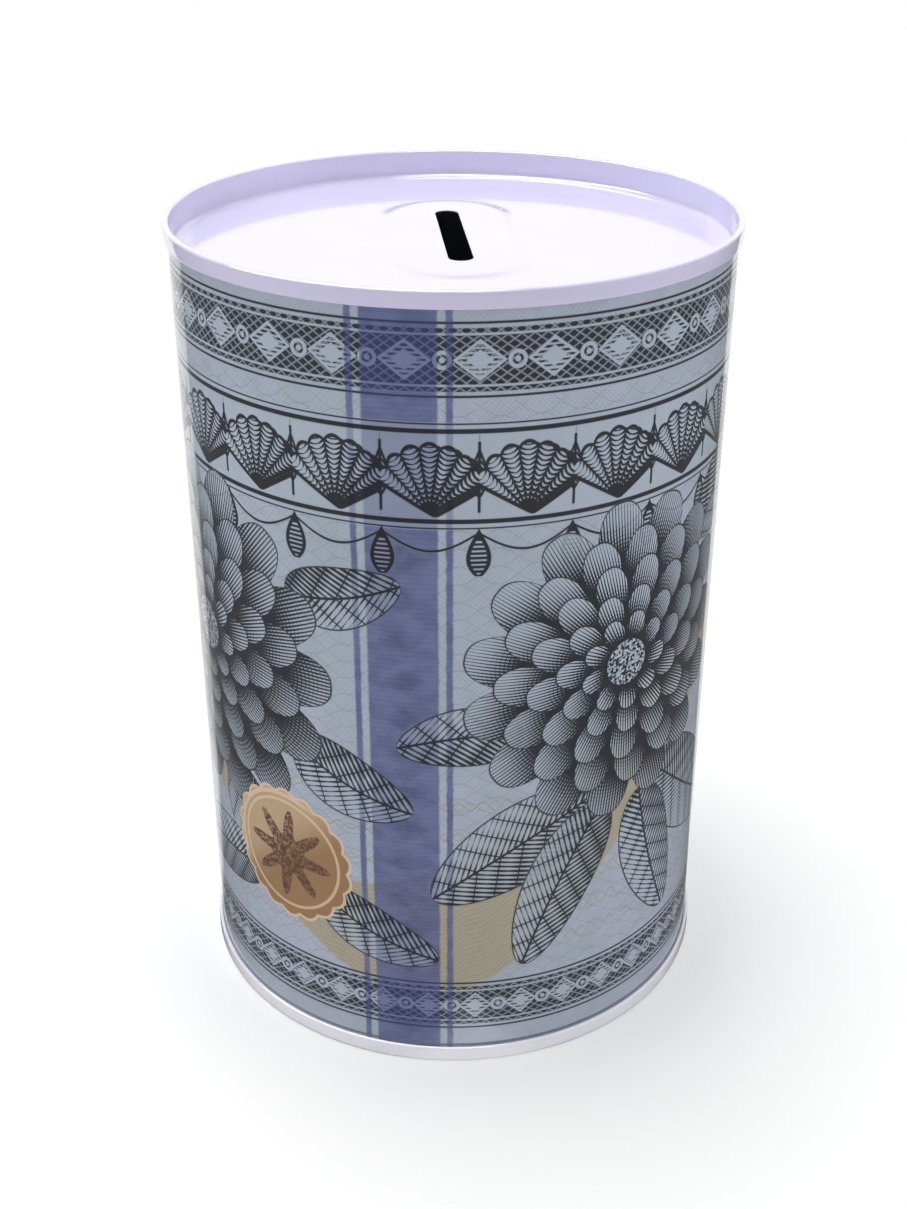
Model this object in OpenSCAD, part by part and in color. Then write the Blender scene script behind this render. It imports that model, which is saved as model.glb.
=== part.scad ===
// Sealed round tin money box: a body with a folded side seam and two ends double-seamed onto it.
// The slot runs along Y. The origin is at the middle of the circle that the bottom rim stands on.

/* [Can] */
// Outside diameter of the body wall
body_d = 99.3; // [90:0.1:130]
// Height over both rims
total_h = 149.5; // [80:0.5:220]

/* [Sheet] */
// Thickness of the body sheet
body_t = 0.22; // [0.16:0.01:0.3]
// Thickness of the sheet of both ends
end_t = 0.23; // [0.18:0.01:0.3]
// Air between layers that are folded together
fold_gap = 0.025; // [0.02:0.005:0.06]

/* [Double seams] */
// Height of each double seam
seam_h = 3; // [2.6:0.1:4]
// Lean of the seam's layers, outwards towards the rim
seam_lean = 2; // [0:0.5:6]
// Inside radius of the two bends at the rim
rim_bend_r = 0.2; // [0.12:0.01:0.25]
// Room between the crown of the body hook and the rim, filled by the lining compound
crown_gap = 0.15; // [0.1:0.01:0.3]
// Room between the tip of each hook and the fold that it reaches into
hook_gap = 0.3; // [0.15:0.05:0.5]
// Clearance all round the lining compound
compound_gap = 0.01; // [0.005:0.005:0.02]

/* [Ends] */
// Depth of the panel below the rim
countersink = 5.1; // [4.6:0.1:8]
// Radius of the corner between the panel and the wall round it
corner_r = 0.8; // [0.4:0.1:1.5]

/* [Coin slot] */
// Width of the slot
slot_w = 4.3; // [3:0.1:6]
// Length of the slot over its round ends
slot_len = 35; // [25:0.5:40]
// Height of the raised pad round the slot
pad_h = 0.57; // [0.2:0.01:1.2]
// Width of the flat top of the pad
pad_top_w = 18; // [12:0.5:24]
// Width of the sloping side of the pad
pad_slope = 4; // [2:0.5:6]

/* [Bottom panel] */
// Diameter of the flat middle of the bottom panel
bead_d = 70; // [40:1:72]
// Height of the step round that middle, towards the outside
bead_h = 0.5; // [0.2:0.05:1]
// Width of the step's slope
bead_slope = 3; // [1.5:0.5:3]

/* [Side seam] */
// Width of the folded part
lock_w = 3.2; // [2.4:0.1:5]
// Radius of the two bends that bring the inner edge back out to the wall
joggle_r = 0.8; // [0.6:0.1:1.5]
// Distance between the end panels and the folds
lock_clear = 1.2; // [0.8:0.1:8]

/* [Hidden] */

$fn = 180;
fold_steps = 4; // straight steps in a quarter turn of a fold
slope_steps = 5; // straight steps in each bend of a pressed slope
lap = 1; // how far one part of an end's sheet runs on into the next
lock_steps = 4; // straight steps in each layer of the side seam
square_lead = 0.05; // half of the straight start of the side seam's edges, where they leave the wall
notch_gap = 0.1; // from the ends of the folds to the closed wall above and below

wall_r = body_d / 2 - body_t / 2; // middle of the body sheet
pitch = (body_t + end_t) / 2 + fold_gap; // from the middle of one folded layer to the next
rim_r = rim_bend_r + end_t / 2; // middle of the sheet in the bends at the rim
corner_mid_r = corner_r + end_t / 2; // middle of the sheet in the panel's corner
panel_h = -countersink - end_t / 2; // middle of the panel's sheet, from the rim

// Heights of the centres of the folds, from the rim
rim_bend_h = -end_t / 2 - rim_r;
crown_h = -end_t - crown_gap - body_t / 2 - pitch;
cover_fold_h = -seam_h + end_t / 2 + pitch;

slot_end_y = (slot_len - slot_w) / 2; // centres of the slot's round ends
pad_foot_r = pad_top_w / 2 + pad_slope;

lock_pitch = body_t + fold_gap; // from the middle of one layer of the side seam to the next
lock_end = countersink + end_t + lock_clear; // from each rim to the folds
lock_h = total_h - 2 * lock_end;
seam_side = 90; // direction of the side seam, seen from above
bulge = lock_pitch + body_t / 2; // how far a fold stands out past its centre

// ---------- paths of folded sheet ----------

function reversed(list) = [for (i = [len(list) - 1:-1:0]) list[i]];

// Points on an arc about c, from angle a to angle b, without those before the first
function arc(c, r, a, b, steps, first = 0) =
    [for (i = [first:steps]) let (angle = a + (b - a) * i / steps) c + r * [cos(angle), sin(angle)]];

// Arc of a fold, with steps by its angle
function fold(c, r, a, b, first = 0) = arc(c, r, a, b, ceil(abs(b - a) / 90 * fold_steps), first);

// Unit vector to the left of the way from p to q
function left_of(p, q) = let (way = (q - p) / norm(q - p)) [-way.y, way.x];

// The path moved to its left by d, mitred where it turns
function beside(path, d) =
    let (last = len(path) - 1)
    [for (i = [0:last])
        let (before = left_of(path[max(i - 1, 0)], path[max(i, 1)]),
             after = left_of(path[min(i, last - 1)], path[min(i + 1, last)]))
        path[i] + d * (before + after) / (1 + before * after)];

// Section of a sheet laid along a path
module sheet(path, thickness) {
    polygon(concat(beside(path, thickness / 2), reversed(beside(path, -thickness / 2))));
}

// Radius at a distance across the seam's layers from the body wall's middle, and a height from the rim
function layer_r(across, h) = wall_r + (across + (h + seam_h) * sin(seam_lean)) / cos(seam_lean);
function layer_point(across, h) = [layer_r(across, h), h];

// A soft step down by rise between two radii, ending at height 0
function slope(r_from, r_to, rise) =
    let (angle = 2 * atan(rise / (r_to - r_from)),
         bend_r = (r_to - r_from) / (2 * sin(angle)))
    concat(
        arc([r_from, rise - bend_r], bend_r, 90, 90 - angle, slope_steps),
        arc([r_to, bend_r], bend_r, -90 - angle, -90, slope_steps, first = 1)
    );

// ---------- double seam ----------

// Sheet of an end from its corner up the chuck wall, over the rim and down to the tip of the cover hook
function rim_path() = concat(
    fold(layer_point(-pitch - corner_mid_r, panel_h + corner_mid_r), corner_mid_r, -90, -seam_lean),
    fold(layer_point(-pitch + rim_r, rim_bend_h), rim_r, 180 - seam_lean, 90),
    fold(layer_point(3 * pitch - rim_r, rim_bend_h), rim_r, 90, -seam_lean),
    fold(layer_point(2 * pitch, cover_fold_h), pitch, -seam_lean, -180 - seam_lean),
    [layer_point(pitch, -end_t - crown_gap - body_t - hook_gap)]
);

// Sheet of the body from the foot of the seam over the crown of the body hook and down to its tip
function body_hook_path() = concat(
    [layer_point(0, -seam_h)],
    fold(layer_point(pitch, crown_h), pitch, 180 - seam_lean, -seam_lean),
    [layer_point(2 * pitch, -seam_h + end_t + hook_gap)]
);

// Ring of compound between the rim's bends and the crown of the body hook
module compound_ring() {
    bend_r = rim_bend_r - compound_gap;
    crown_r = pitch + body_t / 2 + compound_gap;
    crown_reach = 60; // how far down the crown's sides the compound goes
    foot_h = crown_h + crown_r * cos(crown_reach);
    inner = -pitch + end_t / 2 + compound_gap;
    outer = 3 * pitch - end_t / 2 - compound_gap;
    rotate_extrude()
        polygon(concat(
            fold(layer_point(-pitch + rim_r, rim_bend_h), bend_r, 180 - seam_lean, 90),
            fold(layer_point(3 * pitch - rim_r, rim_bend_h), bend_r, 90, -seam_lean),
            [layer_point(outer, foot_h)],
            fold(layer_point(pitch, crown_h), crown_r, 90 - crown_reach, 90 + crown_reach),
            [layer_point(inner, foot_h)]
        ));
}

// ---------- ends ----------

function corner_start_r() = rim_path()[0].x;

module obround(half_w) {
    for (side = [-1, 1])
        translate([0, side * slot_end_y])
            circle(half_w);
    square([2 * half_w, 2 * slot_end_y], center = true);
}

// The pad round the slot: one section, extruded along both sides and turned round both ends
module slot_pad() {
    section = concat(
        [[slot_w / 2, pad_h]],
        slope(pad_top_w / 2, pad_foot_r, pad_h),
        [[pad_foot_r + lap, 0]]
    );
    for (side = [0, 180])
        rotate(side) {
            translate([0, slot_end_y])
                rotate_extrude(angle = 180)
                    sheet(section, end_t);
            rotate([90, 0, 0])
                linear_extrude(2 * slot_end_y, center = true)
                    sheet(section, end_t);
        }
}

// Top end with its rim at height 0
module slotted_end() {
    rotate_extrude()
        sheet(concat([[corner_start_r() - lap, panel_h]], rim_path()), end_t);
    translate([0, 0, panel_h]) {
        linear_extrude(end_t, center = true)
            difference() {
                circle(corner_start_r());
                obround(pad_foot_r);
            }
        slot_pad();
    }
}

// Bottom end with its rim at height 0, drawn the same way up as the top end
module plain_end() {
    step = slope(bead_d / 2, bead_d / 2 + bead_slope, bead_h);
    rotate_extrude()
        sheet(concat(
            [[0, panel_h + bead_h]],
            [for (p = step) p + [0, panel_h]],
            rim_path()
        ), end_t);
}

// ---------- side seam ----------

function degrees_at(length, r) = length / r * 180 / PI;
function polar(r, angle) = r * [cos(angle), sin(angle)];

// Directions of the folds, and of the dip that brings the inner layer out to the wall
wall_fold = seam_side + degrees_at(lock_w / 2 - bulge, wall_r);
edge_fold = seam_side - degrees_at(lock_w / 2 - bulge, wall_r);
tip_turn = degrees_at(body_t + fold_gap, wall_r);
dip_start = wall_fold + degrees_at(bulge + fold_gap, wall_r);
low_bend_r = wall_r - 3 * lock_pitch + joggle_r;
high_bend_r = wall_r - joggle_r;
dip_cos = (pow(low_bend_r, 2) + pow(high_bend_r, 2) - pow(2 * joggle_r, 2)) / (2 * low_bend_r * high_bend_r);
dip_end = dip_start + acos(dip_cos);

// Points of a layer of the side seam about the can's axis
function layer(r, from, to) = arc([0, 0], r, from, to, lock_steps, first = 1);

// Start of a path that leaves the wall square to the cut through it, from just inside the wall
function off_wall(angle, way) =
    [for (step = [-1, 1]) polar(wall_r, angle) + step * way * square_lead * polar(1, angle + 90)];

// Section of the wall's own edge: it folds in and runs back under the wall
module wall_edge() {
    sheet(concat(
        off_wall(wall_fold, 1),
        fold(polar(wall_r - lock_pitch, wall_fold), lock_pitch, wall_fold, wall_fold + 180, first = 1),
        layer(wall_r - 2 * lock_pitch, wall_fold, edge_fold + tip_turn)
    ), body_t);
}

// Section of the other edge: it dips under the first, folds out and locks into it
module dipped_edge() {
    low_bend = polar(low_bend_r, dip_start);
    high_bend = polar(high_bend_r, dip_end);
    across = high_bend - low_bend;
    crossing = 360 + atan2(across.y, across.x);
    inner_fold = polar(wall_r - 2 * lock_pitch, edge_fold);
    sheet(concat(
        off_wall(dip_end, -1),
        fold(high_bend, joggle_r, dip_end, crossing - 180, first = 1),
        fold(low_bend, joggle_r, crossing, dip_start + 180, first = 1),
        layer(wall_r - 3 * lock_pitch, dip_start, edge_fold),
        fold(inner_fold, lock_pitch, edge_fold + 180, edge_fold + 360, first = 1),
        layer(wall_r - lock_pitch, edge_fold, wall_fold - tip_turn)
    ), body_t);
}

// ---------- pieces ----------

module body_shell() {
    hook = body_hook_path();
    color("lightslategray") {
        difference() {
            rotate_extrude()
                sheet(concat(
                    [for (p = reversed(hook)) [p.x, -p.y]],
                    [for (p = hook) [p.x, total_h + p.y]]
                ), body_t);
            translate([0, 0, lock_end - notch_gap])
                rotate(wall_fold)
                    rotate_extrude(angle = dip_end - wall_fold)
                        translate([wall_r - body_t, 0])
                            square([2 * body_t, lock_h + 2 * notch_gap]);
        }
        translate([0, 0, lock_end])
            linear_extrude(lock_h) {
                wall_edge();
                dipped_edge();
            }
    }
}

module top_end() {
    color("lavender")
        translate([0, 0, total_h])
            slotted_end();
}

module bottom_end() {
    color("whitesmoke")
        mirror([0, 0, 1])
            plain_end();
}

module top_seam_compound() {
    color("dimgray")
        translate([0, 0, total_h])
            compound_ring();
}

module bottom_seam_compound() {
    color("dimgray")
        mirror([0, 0, 1])
            compound_ring();
}

body_shell();
top_end();
bottom_end();
top_seam_compound();
bottom_seam_compound();
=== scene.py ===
import math
import bpy
import bmesh
from mathutils import Matrix, Quaternion, Vector


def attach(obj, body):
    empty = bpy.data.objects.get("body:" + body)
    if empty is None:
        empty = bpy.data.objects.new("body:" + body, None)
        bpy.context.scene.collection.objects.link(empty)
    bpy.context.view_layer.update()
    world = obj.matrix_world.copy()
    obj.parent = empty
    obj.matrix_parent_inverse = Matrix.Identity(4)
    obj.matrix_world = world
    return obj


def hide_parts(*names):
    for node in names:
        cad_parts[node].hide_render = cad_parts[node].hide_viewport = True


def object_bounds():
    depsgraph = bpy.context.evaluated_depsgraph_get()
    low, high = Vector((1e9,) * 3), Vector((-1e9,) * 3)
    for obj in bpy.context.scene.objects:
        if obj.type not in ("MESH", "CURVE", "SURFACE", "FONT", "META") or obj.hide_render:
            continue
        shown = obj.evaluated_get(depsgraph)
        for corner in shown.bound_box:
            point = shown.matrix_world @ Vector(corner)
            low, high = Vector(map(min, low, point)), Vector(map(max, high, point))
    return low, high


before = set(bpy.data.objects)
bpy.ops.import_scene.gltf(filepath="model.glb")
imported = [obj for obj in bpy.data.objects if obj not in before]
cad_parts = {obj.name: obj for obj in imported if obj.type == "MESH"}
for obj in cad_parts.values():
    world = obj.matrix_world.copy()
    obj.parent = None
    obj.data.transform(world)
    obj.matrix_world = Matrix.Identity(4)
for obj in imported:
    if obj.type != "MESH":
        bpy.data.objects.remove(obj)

cadLow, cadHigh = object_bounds()
mm = 0.001
print("frame loaded")

# camera

view = {
    "place": (-0.02248, -0.27582, 0.21549),
    "pitch": -27.49,     # degrees above the horizon
    "yaw": -4.66,        # degrees from +Y
    "lens": 47.03,
    "film": 36,          # width, in mm like the lens
    "nearest": 0.01,
}


def addObject(name, data):
    made = bpy.data.objects.new(name, data)
    bpy.context.scene.collection.objects.link(made)
    return made


def aimCamera():
    data = bpy.data.cameras.new("viewCamera")
    data.lens = view["lens"]
    data.sensor_width = view["film"]
    data.clip_start = view["nearest"]
    camera = addObject("viewCamera", data)
    camera.location = view["place"]
    camera.rotation_euler = (math.radians(90 + view["pitch"]), 0, math.radians(view["yaw"]))
    bpy.context.scene.camera = camera


aimCamera()
bpy.context.scene.view_settings.view_transform = "Standard"
print("camera set")

# the can's sizes, in mm, as its solids have them

can = {
    "height": (cadHigh.z - cadLow.z) / mm,
    "bodyT": 0.22,       # sheet of the body
    "endT": 0.23,        # sheet of both ends
    "foldGap": 0.025,    # air between folded layers
    "seamH": 3.0,
    "lean": 2.0,         # degrees that the seam's layers lean out
    "rimBend": 0.2,
    "crownGap": 0.15,
    "hookGap": 0.3,
    "sink": 5.1,         # from the rim down to the panel
    "corner": 0.8,
    "turns": 300,        # steps once round the can
}
pitch = (can["bodyT"] + can["endT"]) / 2 + can["foldGap"]
leanSin = math.sin(math.radians(can["lean"]))
leanCos = math.cos(math.radians(can["lean"]))
rimR = can["rimBend"] + can["endT"] / 2
rimBendH = -can["endT"] / 2 - rimR
seamReach = (3 * pitch + (rimBendH + can["seamH"]) * leanSin) / leanCos + can["endT"] / 2
wallR = (cadHigh.x - cadLow.x) / 2 / mm - seamReach
cornerR = can["corner"] + can["endT"] / 2
panelH = -can["sink"] - can["endT"] / 2


def onLayer(across, height):
    # a point of one of the seam's layers, at a height from the rim
    return (wallR + (across + (height + can["seamH"]) * leanSin) / leanCos, height)


def polar(radius, degrees):
    return (radius * math.cos(math.radians(degrees)), radius * math.sin(math.radians(degrees)))


# sheet tools

sheet = {
    "bendSteps": 6,      # in a quarter turn of a bend
    "slopeSteps": 60,    # the same, in a long soft slope
    "merge": 0.002,      # points nearer than this become one
    "level": 0.01,       # heights and radii nearer than this count as the same
    "sharp": 40,         # degrees, an edge that turns more stays sharp
}


class Section:
    # the middle line of a folded sheet, drawn in the XZ plane
    def __init__(self, mesh, start):
        self.mesh = mesh
        self.tip = mesh.verts.new((start[0], 0, start[1]))

    def runTo(self, point):
        made = bmesh.ops.extrude_vert_indiv(self.mesh, verts=[self.tip])
        self.tip = made["verts"][0]
        self.tip.co = (point[0], 0, point[1])

    def bend(self, centre, radius, fromAngle, toAngle, perQuarter=sheet["bendSteps"]):
        start = polar(radius, fromAngle)
        self.runTo((centre[0] + start[0], centre[1] + start[1]))
        steps = math.ceil(abs(toAngle - fromAngle) / 90 * perQuarter)
        made = bmesh.ops.spin(
            self.mesh, geom=[self.tip], cent=(centre[0], 0, centre[1]), axis=(0, -1, 0),
            angle=math.radians(toAngle - fromAngle), steps=steps)
        self.tip = [v for v in made["geom_last"] if isinstance(v, bmesh.types.BMVert)][0]

    def slopeDown(self, fromR, toR, rise, ground):
        # a soft pressed step that drops by rise
        steps = sheet["slopeSteps"]
        angle = 2 * math.degrees(math.atan(rise / (toR - fromR)))
        radius = (toR - fromR) / (2 * math.sin(math.radians(angle)))
        self.bend((fromR, ground + rise - radius), radius, 90, 90 - angle, steps)
        self.bend((toR, ground + radius), radius, 270 - angle, 270, steps)


def lastEdges(made):
    return [e for e in made["geom_last"] if isinstance(e, bmesh.types.BMEdge)]


def endsOf(edges):
    return list(dict.fromkeys(v for e in edges for v in e.verts))


def turn(mesh, edges, centre, degrees, steps):
    # sweeps edges round an upright axis and returns the edges at the end
    return lastEdges(bmesh.ops.spin(
        mesh, geom=edges + endsOf(edges), cent=(centre[0], centre[1], 0), axis=(0, 0, 1),
        angle=math.radians(degrees), steps=steps))


def slide(mesh, edges, move, steps):
    return lastEdges(bmesh.ops.spin(
        mesh, geom=edges + endsOf(edges), cent=(0, 0, 0), axis=(0, 0, 1), angle=0, steps=steps,
        dvec=Vector(move) / steps))


def turnWhole(mesh):
    # sweeps everything once round the can's axis
    bmesh.ops.spin(
        mesh, geom=mesh.verts[:] + mesh.edges[:], cent=(0, 0, 0), axis=(0, 0, 1),
        angle=math.tau, steps=can["turns"], use_merge=True)


def rimSection(section):
    # up from the panel's corner, over the rim and down into the cover hook
    crest = -can["endT"] - can["crownGap"]
    coverFold = -can["seamH"] + can["endT"] / 2 + pitch
    lean = can["lean"]
    section.bend(onLayer(-pitch - cornerR, panelH + cornerR), cornerR, -90, -lean)
    section.bend(onLayer(-pitch + rimR, rimBendH), rimR, 180 - lean, 90)
    section.bend(onLayer(3 * pitch - rimR, rimBendH), rimR, 90, -lean)
    section.bend(onLayer(2 * pitch, coverFold), pitch, -lean, -180 - lean)
    section.runTo(onLayer(pitch, crest - can["bodyT"] - can["hookGap"]))


def mergeDoubles(mesh):
    bmesh.ops.remove_doubles(mesh, verts=mesh.verts, dist=sheet["merge"])


def facePiece(mesh, place, way):
    # merges the doubles and turns the faces so that the one nearest to place looks that way
    mergeDoubles(mesh)
    bmesh.ops.recalc_face_normals(mesh, faces=mesh.faces)
    nearest = min(mesh.faces, key=lambda face: (face.calc_center_median() - Vector(place)).length)
    if nearest.normal.dot(Vector(way)) < 0:
        bmesh.ops.reverse_faces(mesh, faces=mesh.faces)


def meshObject(mesh, name, finishes):
    data = bpy.data.meshes.new(name)
    mesh.to_mesh(data)
    mesh.free()
    for finish in finishes:
        data.materials.append(finish)
    return addObject(name, data)


def sheetPiece(mesh, name, thickness, finishes, node):
    # gives the middle surface its thickness and hands it to the frame in metres
    bmesh.ops.scale(mesh, vec=(mm, mm, mm), verts=mesh.verts)
    rough = meshObject(mesh, name + "Middle", finishes)
    wall = rough.modifiers.new("sheet", "SOLIDIFY")
    wall.thickness = thickness * mm
    wall.offset = 0
    wall.use_even_offset = True
    wall.material_offset = 1         # the back and the cut edges show the second finish
    wall.material_offset_rim = 1
    bpy.context.view_layer.update()
    ready = rough.evaluated_get(bpy.context.evaluated_depsgraph_get())
    solid = bpy.data.meshes.new_from_object(ready)
    bpy.data.objects.remove(rough)
    solid.polygons.foreach_set("use_smooth", [True] * len(solid.polygons))
    solid.set_sharp_from_angle(angle=math.radians(sheet["sharp"]))
    piece = addObject(name, solid)
    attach(piece, "root")
    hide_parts(node)
    print(name, len(solid.polygons), "faces")


# shader tools

def sums(operation, swapped=False):
    # a method that adds one Math node
    def added(self, *others):
        values = (*others, self) if swapped else (self, *others)
        return self.finish.node("ShaderNodeMath", {"operation": operation}, dict(enumerate(values)))
    return added


class Wire:
    # a socket whose sums add their own nodes
    def __init__(self, finish, socket):
        self.finish = finish
        self.socket = socket

    __add__ = __radd__ = sums("ADD")
    __sub__ = sums("SUBTRACT")
    __rsub__ = sums("SUBTRACT", swapped=True)
    __mul__ = __rmul__ = sums("MULTIPLY")
    __truediv__ = sums("DIVIDE")
    __rtruediv__ = sums("DIVIDE", swapped=True)
    __pow__ = sums("POWER")
    __abs__ = sums("ABSOLUTE")
    root = sums("SQRT")
    sin = sums("SINE")
    cos = sums("COSINE")
    arccos = sums("ARCCOSINE")
    arctan = sums("ARCTAN2")
    least = sums("MINIMUM")
    most = sums("MAXIMUM")
    wrapTo = sums("WRAP")
    pingPong = sums("PINGPONG")

    def __neg__(self):
        return self * -1

    def share(self):
        return self.most(0).least(1)

    def wrap(self, period):
        # the same value moved into the range from -period / 2 to period / 2
        return self.wrapTo(period / 2, period / -2)

    def fromLine(self, spacing):
        # distance to the nearest of evenly spaced lines
        return self.pingPong(spacing / 2)

    def change(self, edge, fade, before, after):
        return self.finish.node(
            "ShaderNodeMapRange", {"interpolation_type": "SMOOTHSTEP", "clamp": False},
            {0: self, 1: edge - fade, 2: edge + fade, 3: before, 4: after})

    def over(self, edge, fade):
        # 0 below the edge and 1 above it, with a soft change
        return self.change(edge, fade, 0.0, 1.0)

    def under(self, edge, fade):
        return self.change(edge, fade, 1.0, 0.0)

    def between(self, low, high, fade):
        return self.over(low, fade) * self.under(high, fade)

    def blend(self, first, second):
        # first where this is 0 and second where it is 1
        return self.finish.node(
            "ShaderNodeMix", {"data_type": "FLOAT"}, {0: self, 2: first, 3: second})


class Finish:
    # a material, world or node group under construction
    def __init__(self, name, tree=None):
        if tree is None:
            self.material = bpy.data.materials.new(name)
            self.material.use_nodes = True
            tree = self.material.node_tree
        self.tree = tree
        self.tree.nodes.clear()

    def node(self, kind, settings={}, sockets={}, out=0):
        made = self.tree.nodes.new(kind)
        for name, value in settings.items():
            setattr(made, name, value)
        for slot, value in sockets.items():
            if isinstance(value, Wire):
                self.tree.links.new(value.socket, made.inputs[slot])
            else:
                made.inputs[slot].default_value = value
        return None if out is None else Wire(self, made.outputs[out])

    def place(self):
        return self.node("ShaderNodeTexCoord", out="Object")

    def inMm(self, at):
        # the three parts of a place
        split = self.node("ShaderNodeSeparateXYZ", {}, {0: at})
        return [Wire(self, socket) / mm for socket in split.socket.node.outputs]

    def noise(self, at, grain, detail=2.0):
        # grain is the size of the spots in mm
        return self.node("ShaderNodeTexNoise", {"noise_dimensions": "3D"}, {
            "Vector": at, "Scale": 1 / mm / grain, "Detail": detail})

    def ray(self, kind):
        # 1 where the light path is a ray of this kind
        return self.node("ShaderNodeLightPath", out=f"Is {kind} Ray")

    def stretch(self, at, scale):
        return self.node("ShaderNodeMapping", {}, {"Vector": at, "Scale": scale})

    def mix(self, amount, first, second):
        return self.node(
            "ShaderNodeMix", {"data_type": "RGBA"}, {0: amount, 6: first, 7: second}, out=2)

    def bump(self, height, distance, strength, normal=None):
        sockets = {"Strength": strength, "Distance": distance * mm, "Height": height}
        if normal:
            sockets["Normal"] = normal
        return self.node("ShaderNodeBump", {}, sockets)

    def motif(self, name, draw, values):
        # a drawing in a node group, which is made once and may be used many times
        group = bpy.data.node_groups.get(name)
        if group is None:
            group = bpy.data.node_groups.new(name, "ShaderNodeTree")
            inner = Finish(name, group)
            for label in values:
                group.interface.new_socket(label, in_out="INPUT", socket_type="NodeSocketFloat")
            entry = group.nodes.new("NodeGroupInput")
            results = draw(*[Wire(inner, entry.outputs[label]) for label in values])
            for number in range(len(results)):
                group.interface.new_socket(
                    f"part{number}", in_out="OUTPUT", socket_type="NodeSocketFloat")
            end = group.nodes.new("NodeGroupOutput")
            for number, result in enumerate(results):
                group.links.new(result.socket, end.inputs[number])
        first = self.node("ShaderNodeGroup", {"node_tree": group}, values)
        return [Wire(self, socket) for socket in first.socket.node.outputs]

    def done(self, sockets):
        shader = self.node("ShaderNodeBsdfPrincipled", {}, sockets)
        self.node("ShaderNodeOutputMaterial", {}, {0: shader}, out=None)
        return self.material


def ink(red, green, blue):
    # a colour from its screen values
    def linear(value):
        value /= 255
        return value / 12.92 if value <= 0.04045 else ((value + 0.055) / 1.055) ** 2.4
    return (linear(red), linear(green), linear(blue), 1.0)


# body: one sheet, rolled, hooked at both ends and locked at the back

sideSeam = {
    "side": 90,           # degrees, seen from above: the back
    "width": 3.2,
    "joggle": 0.8,        # radius of the two bends of the dip
    "clear": 1.2,         # from the end panels to the folds
    "notchGap": 0.1,
    "foldSteps": 10,      # in each of its half turns
    "dipSteps": 5,        # in each bend of the dip
    "runSteps": 4,        # along each flat layer
    "closeSteps": 2,      # where the ring closes above and below it
}


def makeBody(finishes):
    s = sideSeam
    height = can["height"]
    lockPitch = can["bodyT"] + can["foldGap"]
    bulge = lockPitch + can["bodyT"] / 2
    perMm = 180 / math.pi / wallR
    lockTop = height - can["sink"] - can["endT"] - s["clear"]
    wallFold = s["side"] + (s["width"] / 2 - bulge) * perMm
    edgeFold = s["side"] - (s["width"] / 2 - bulge) * perMm
    tipTurn = lockPitch * perMm
    dipStart = wallFold + (bulge + can["foldGap"]) * perMm
    lowBendR = wallR - 3 * lockPitch + s["joggle"]
    highBendR = wallR - s["joggle"]
    dipCos = (lowBendR ** 2 + highBendR ** 2 - (2 * s["joggle"]) ** 2) / (2 * lowBendR * highBendR)
    dipEnd = dipStart + math.degrees(math.acos(dipCos))

    def underRim(across, down):
        place = onLayer(across, down)
        return (place[0], height + place[1])

    # upper half of the section, from the top of the folds to the tip of the body hook
    mesh = bmesh.new()
    section = Section(mesh, (wallR, lockTop))
    section.runTo((wallR, lockTop + s["notchGap"]))
    section.runTo(underRim(0, -can["seamH"]))
    crown = -can["endT"] - can["crownGap"] - can["bodyT"] / 2 - pitch
    section.bend(underRim(pitch, crown), pitch, 180 - can["lean"], -can["lean"])
    section.runTo(underRim(2 * pitch, -can["seamH"] + can["endT"] + can["hookGap"]))
    half = mesh.verts[:] + mesh.edges[:]
    bmesh.ops.mirror(
        mesh, geom=half, matrix=Matrix.Translation((0, 0, -height / 2)), axis="Z", merge_dist=-1)

    def fromMiddle(z):
        return abs(z - height / 2)

    joins = [v for v in mesh.verts
             if abs(fromMiddle(v.co.z) - fromMiddle(lockTop)) < sheet["level"]]
    bmesh.ops.contextual_create(mesh, geom=joins)
    startTurn = Matrix.Rotation(math.radians(dipEnd), 3, "Z")
    bmesh.ops.rotate(mesh, verts=mesh.verts, cent=(0, 0, 0), matrix=startTurn)

    def upright(edges):
        return [e for e in edges if e.calc_length() > height / 2]

    def ringPart(edges):
        # what lies above and below the folds and their notches
        keep = fromMiddle(lockTop + s["notchGap"] / 2) + sheet["level"]
        return [e for e in edges if fromMiddle((e.verts[0].co.z + e.verts[1].co.z) / 2) > keep]

    start = mesh.edges[:]
    first = upright(start)
    ends = turn(mesh, start, (0, 0), 360 - (dipEnd - wallFold), can["turns"])
    turn(mesh, ringPart(ends), (0, 0), dipEnd - wallFold, s["closeSteps"])

    # the wall's own edge folds in and runs back under the wall
    edge = turn(mesh, upright(ends), polar(wallR - lockPitch, wallFold), 180, s["foldSteps"])
    turn(mesh, edge, (0, 0), edgeFold + tipTurn - wallFold, s["runSteps"])

    # the other edge dips under it, folds out and locks into it
    lowBend = Vector(polar(lowBendR, dipStart))
    highBend = Vector(polar(highBendR, dipEnd))
    crossing = 360 + math.degrees(math.atan2((highBend - lowBend).y, (highBend - lowBend).x))
    edge = turn(mesh, first, highBend, crossing - 180 - dipEnd, s["dipSteps"])
    edge = turn(mesh, edge, lowBend, dipStart + 180 - crossing, s["dipSteps"])
    edge = turn(mesh, edge, (0, 0), edgeFold - dipStart, s["runSteps"])
    edge = turn(mesh, edge, polar(wallR - 2 * lockPitch, edgeFold), 180, s["foldSteps"])
    turn(mesh, edge, (0, 0), wallFold - tipTurn - edgeFold, s["runSteps"])

    facePiece(mesh, (0, -wallR, height / 2), (0, -1, 0))
    sheetPiece(mesh, "printedBody", can["bodyT"], finishes, "body_shell")


# lid: rim, chuck wall, panel and the pressed pad round the slot

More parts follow.
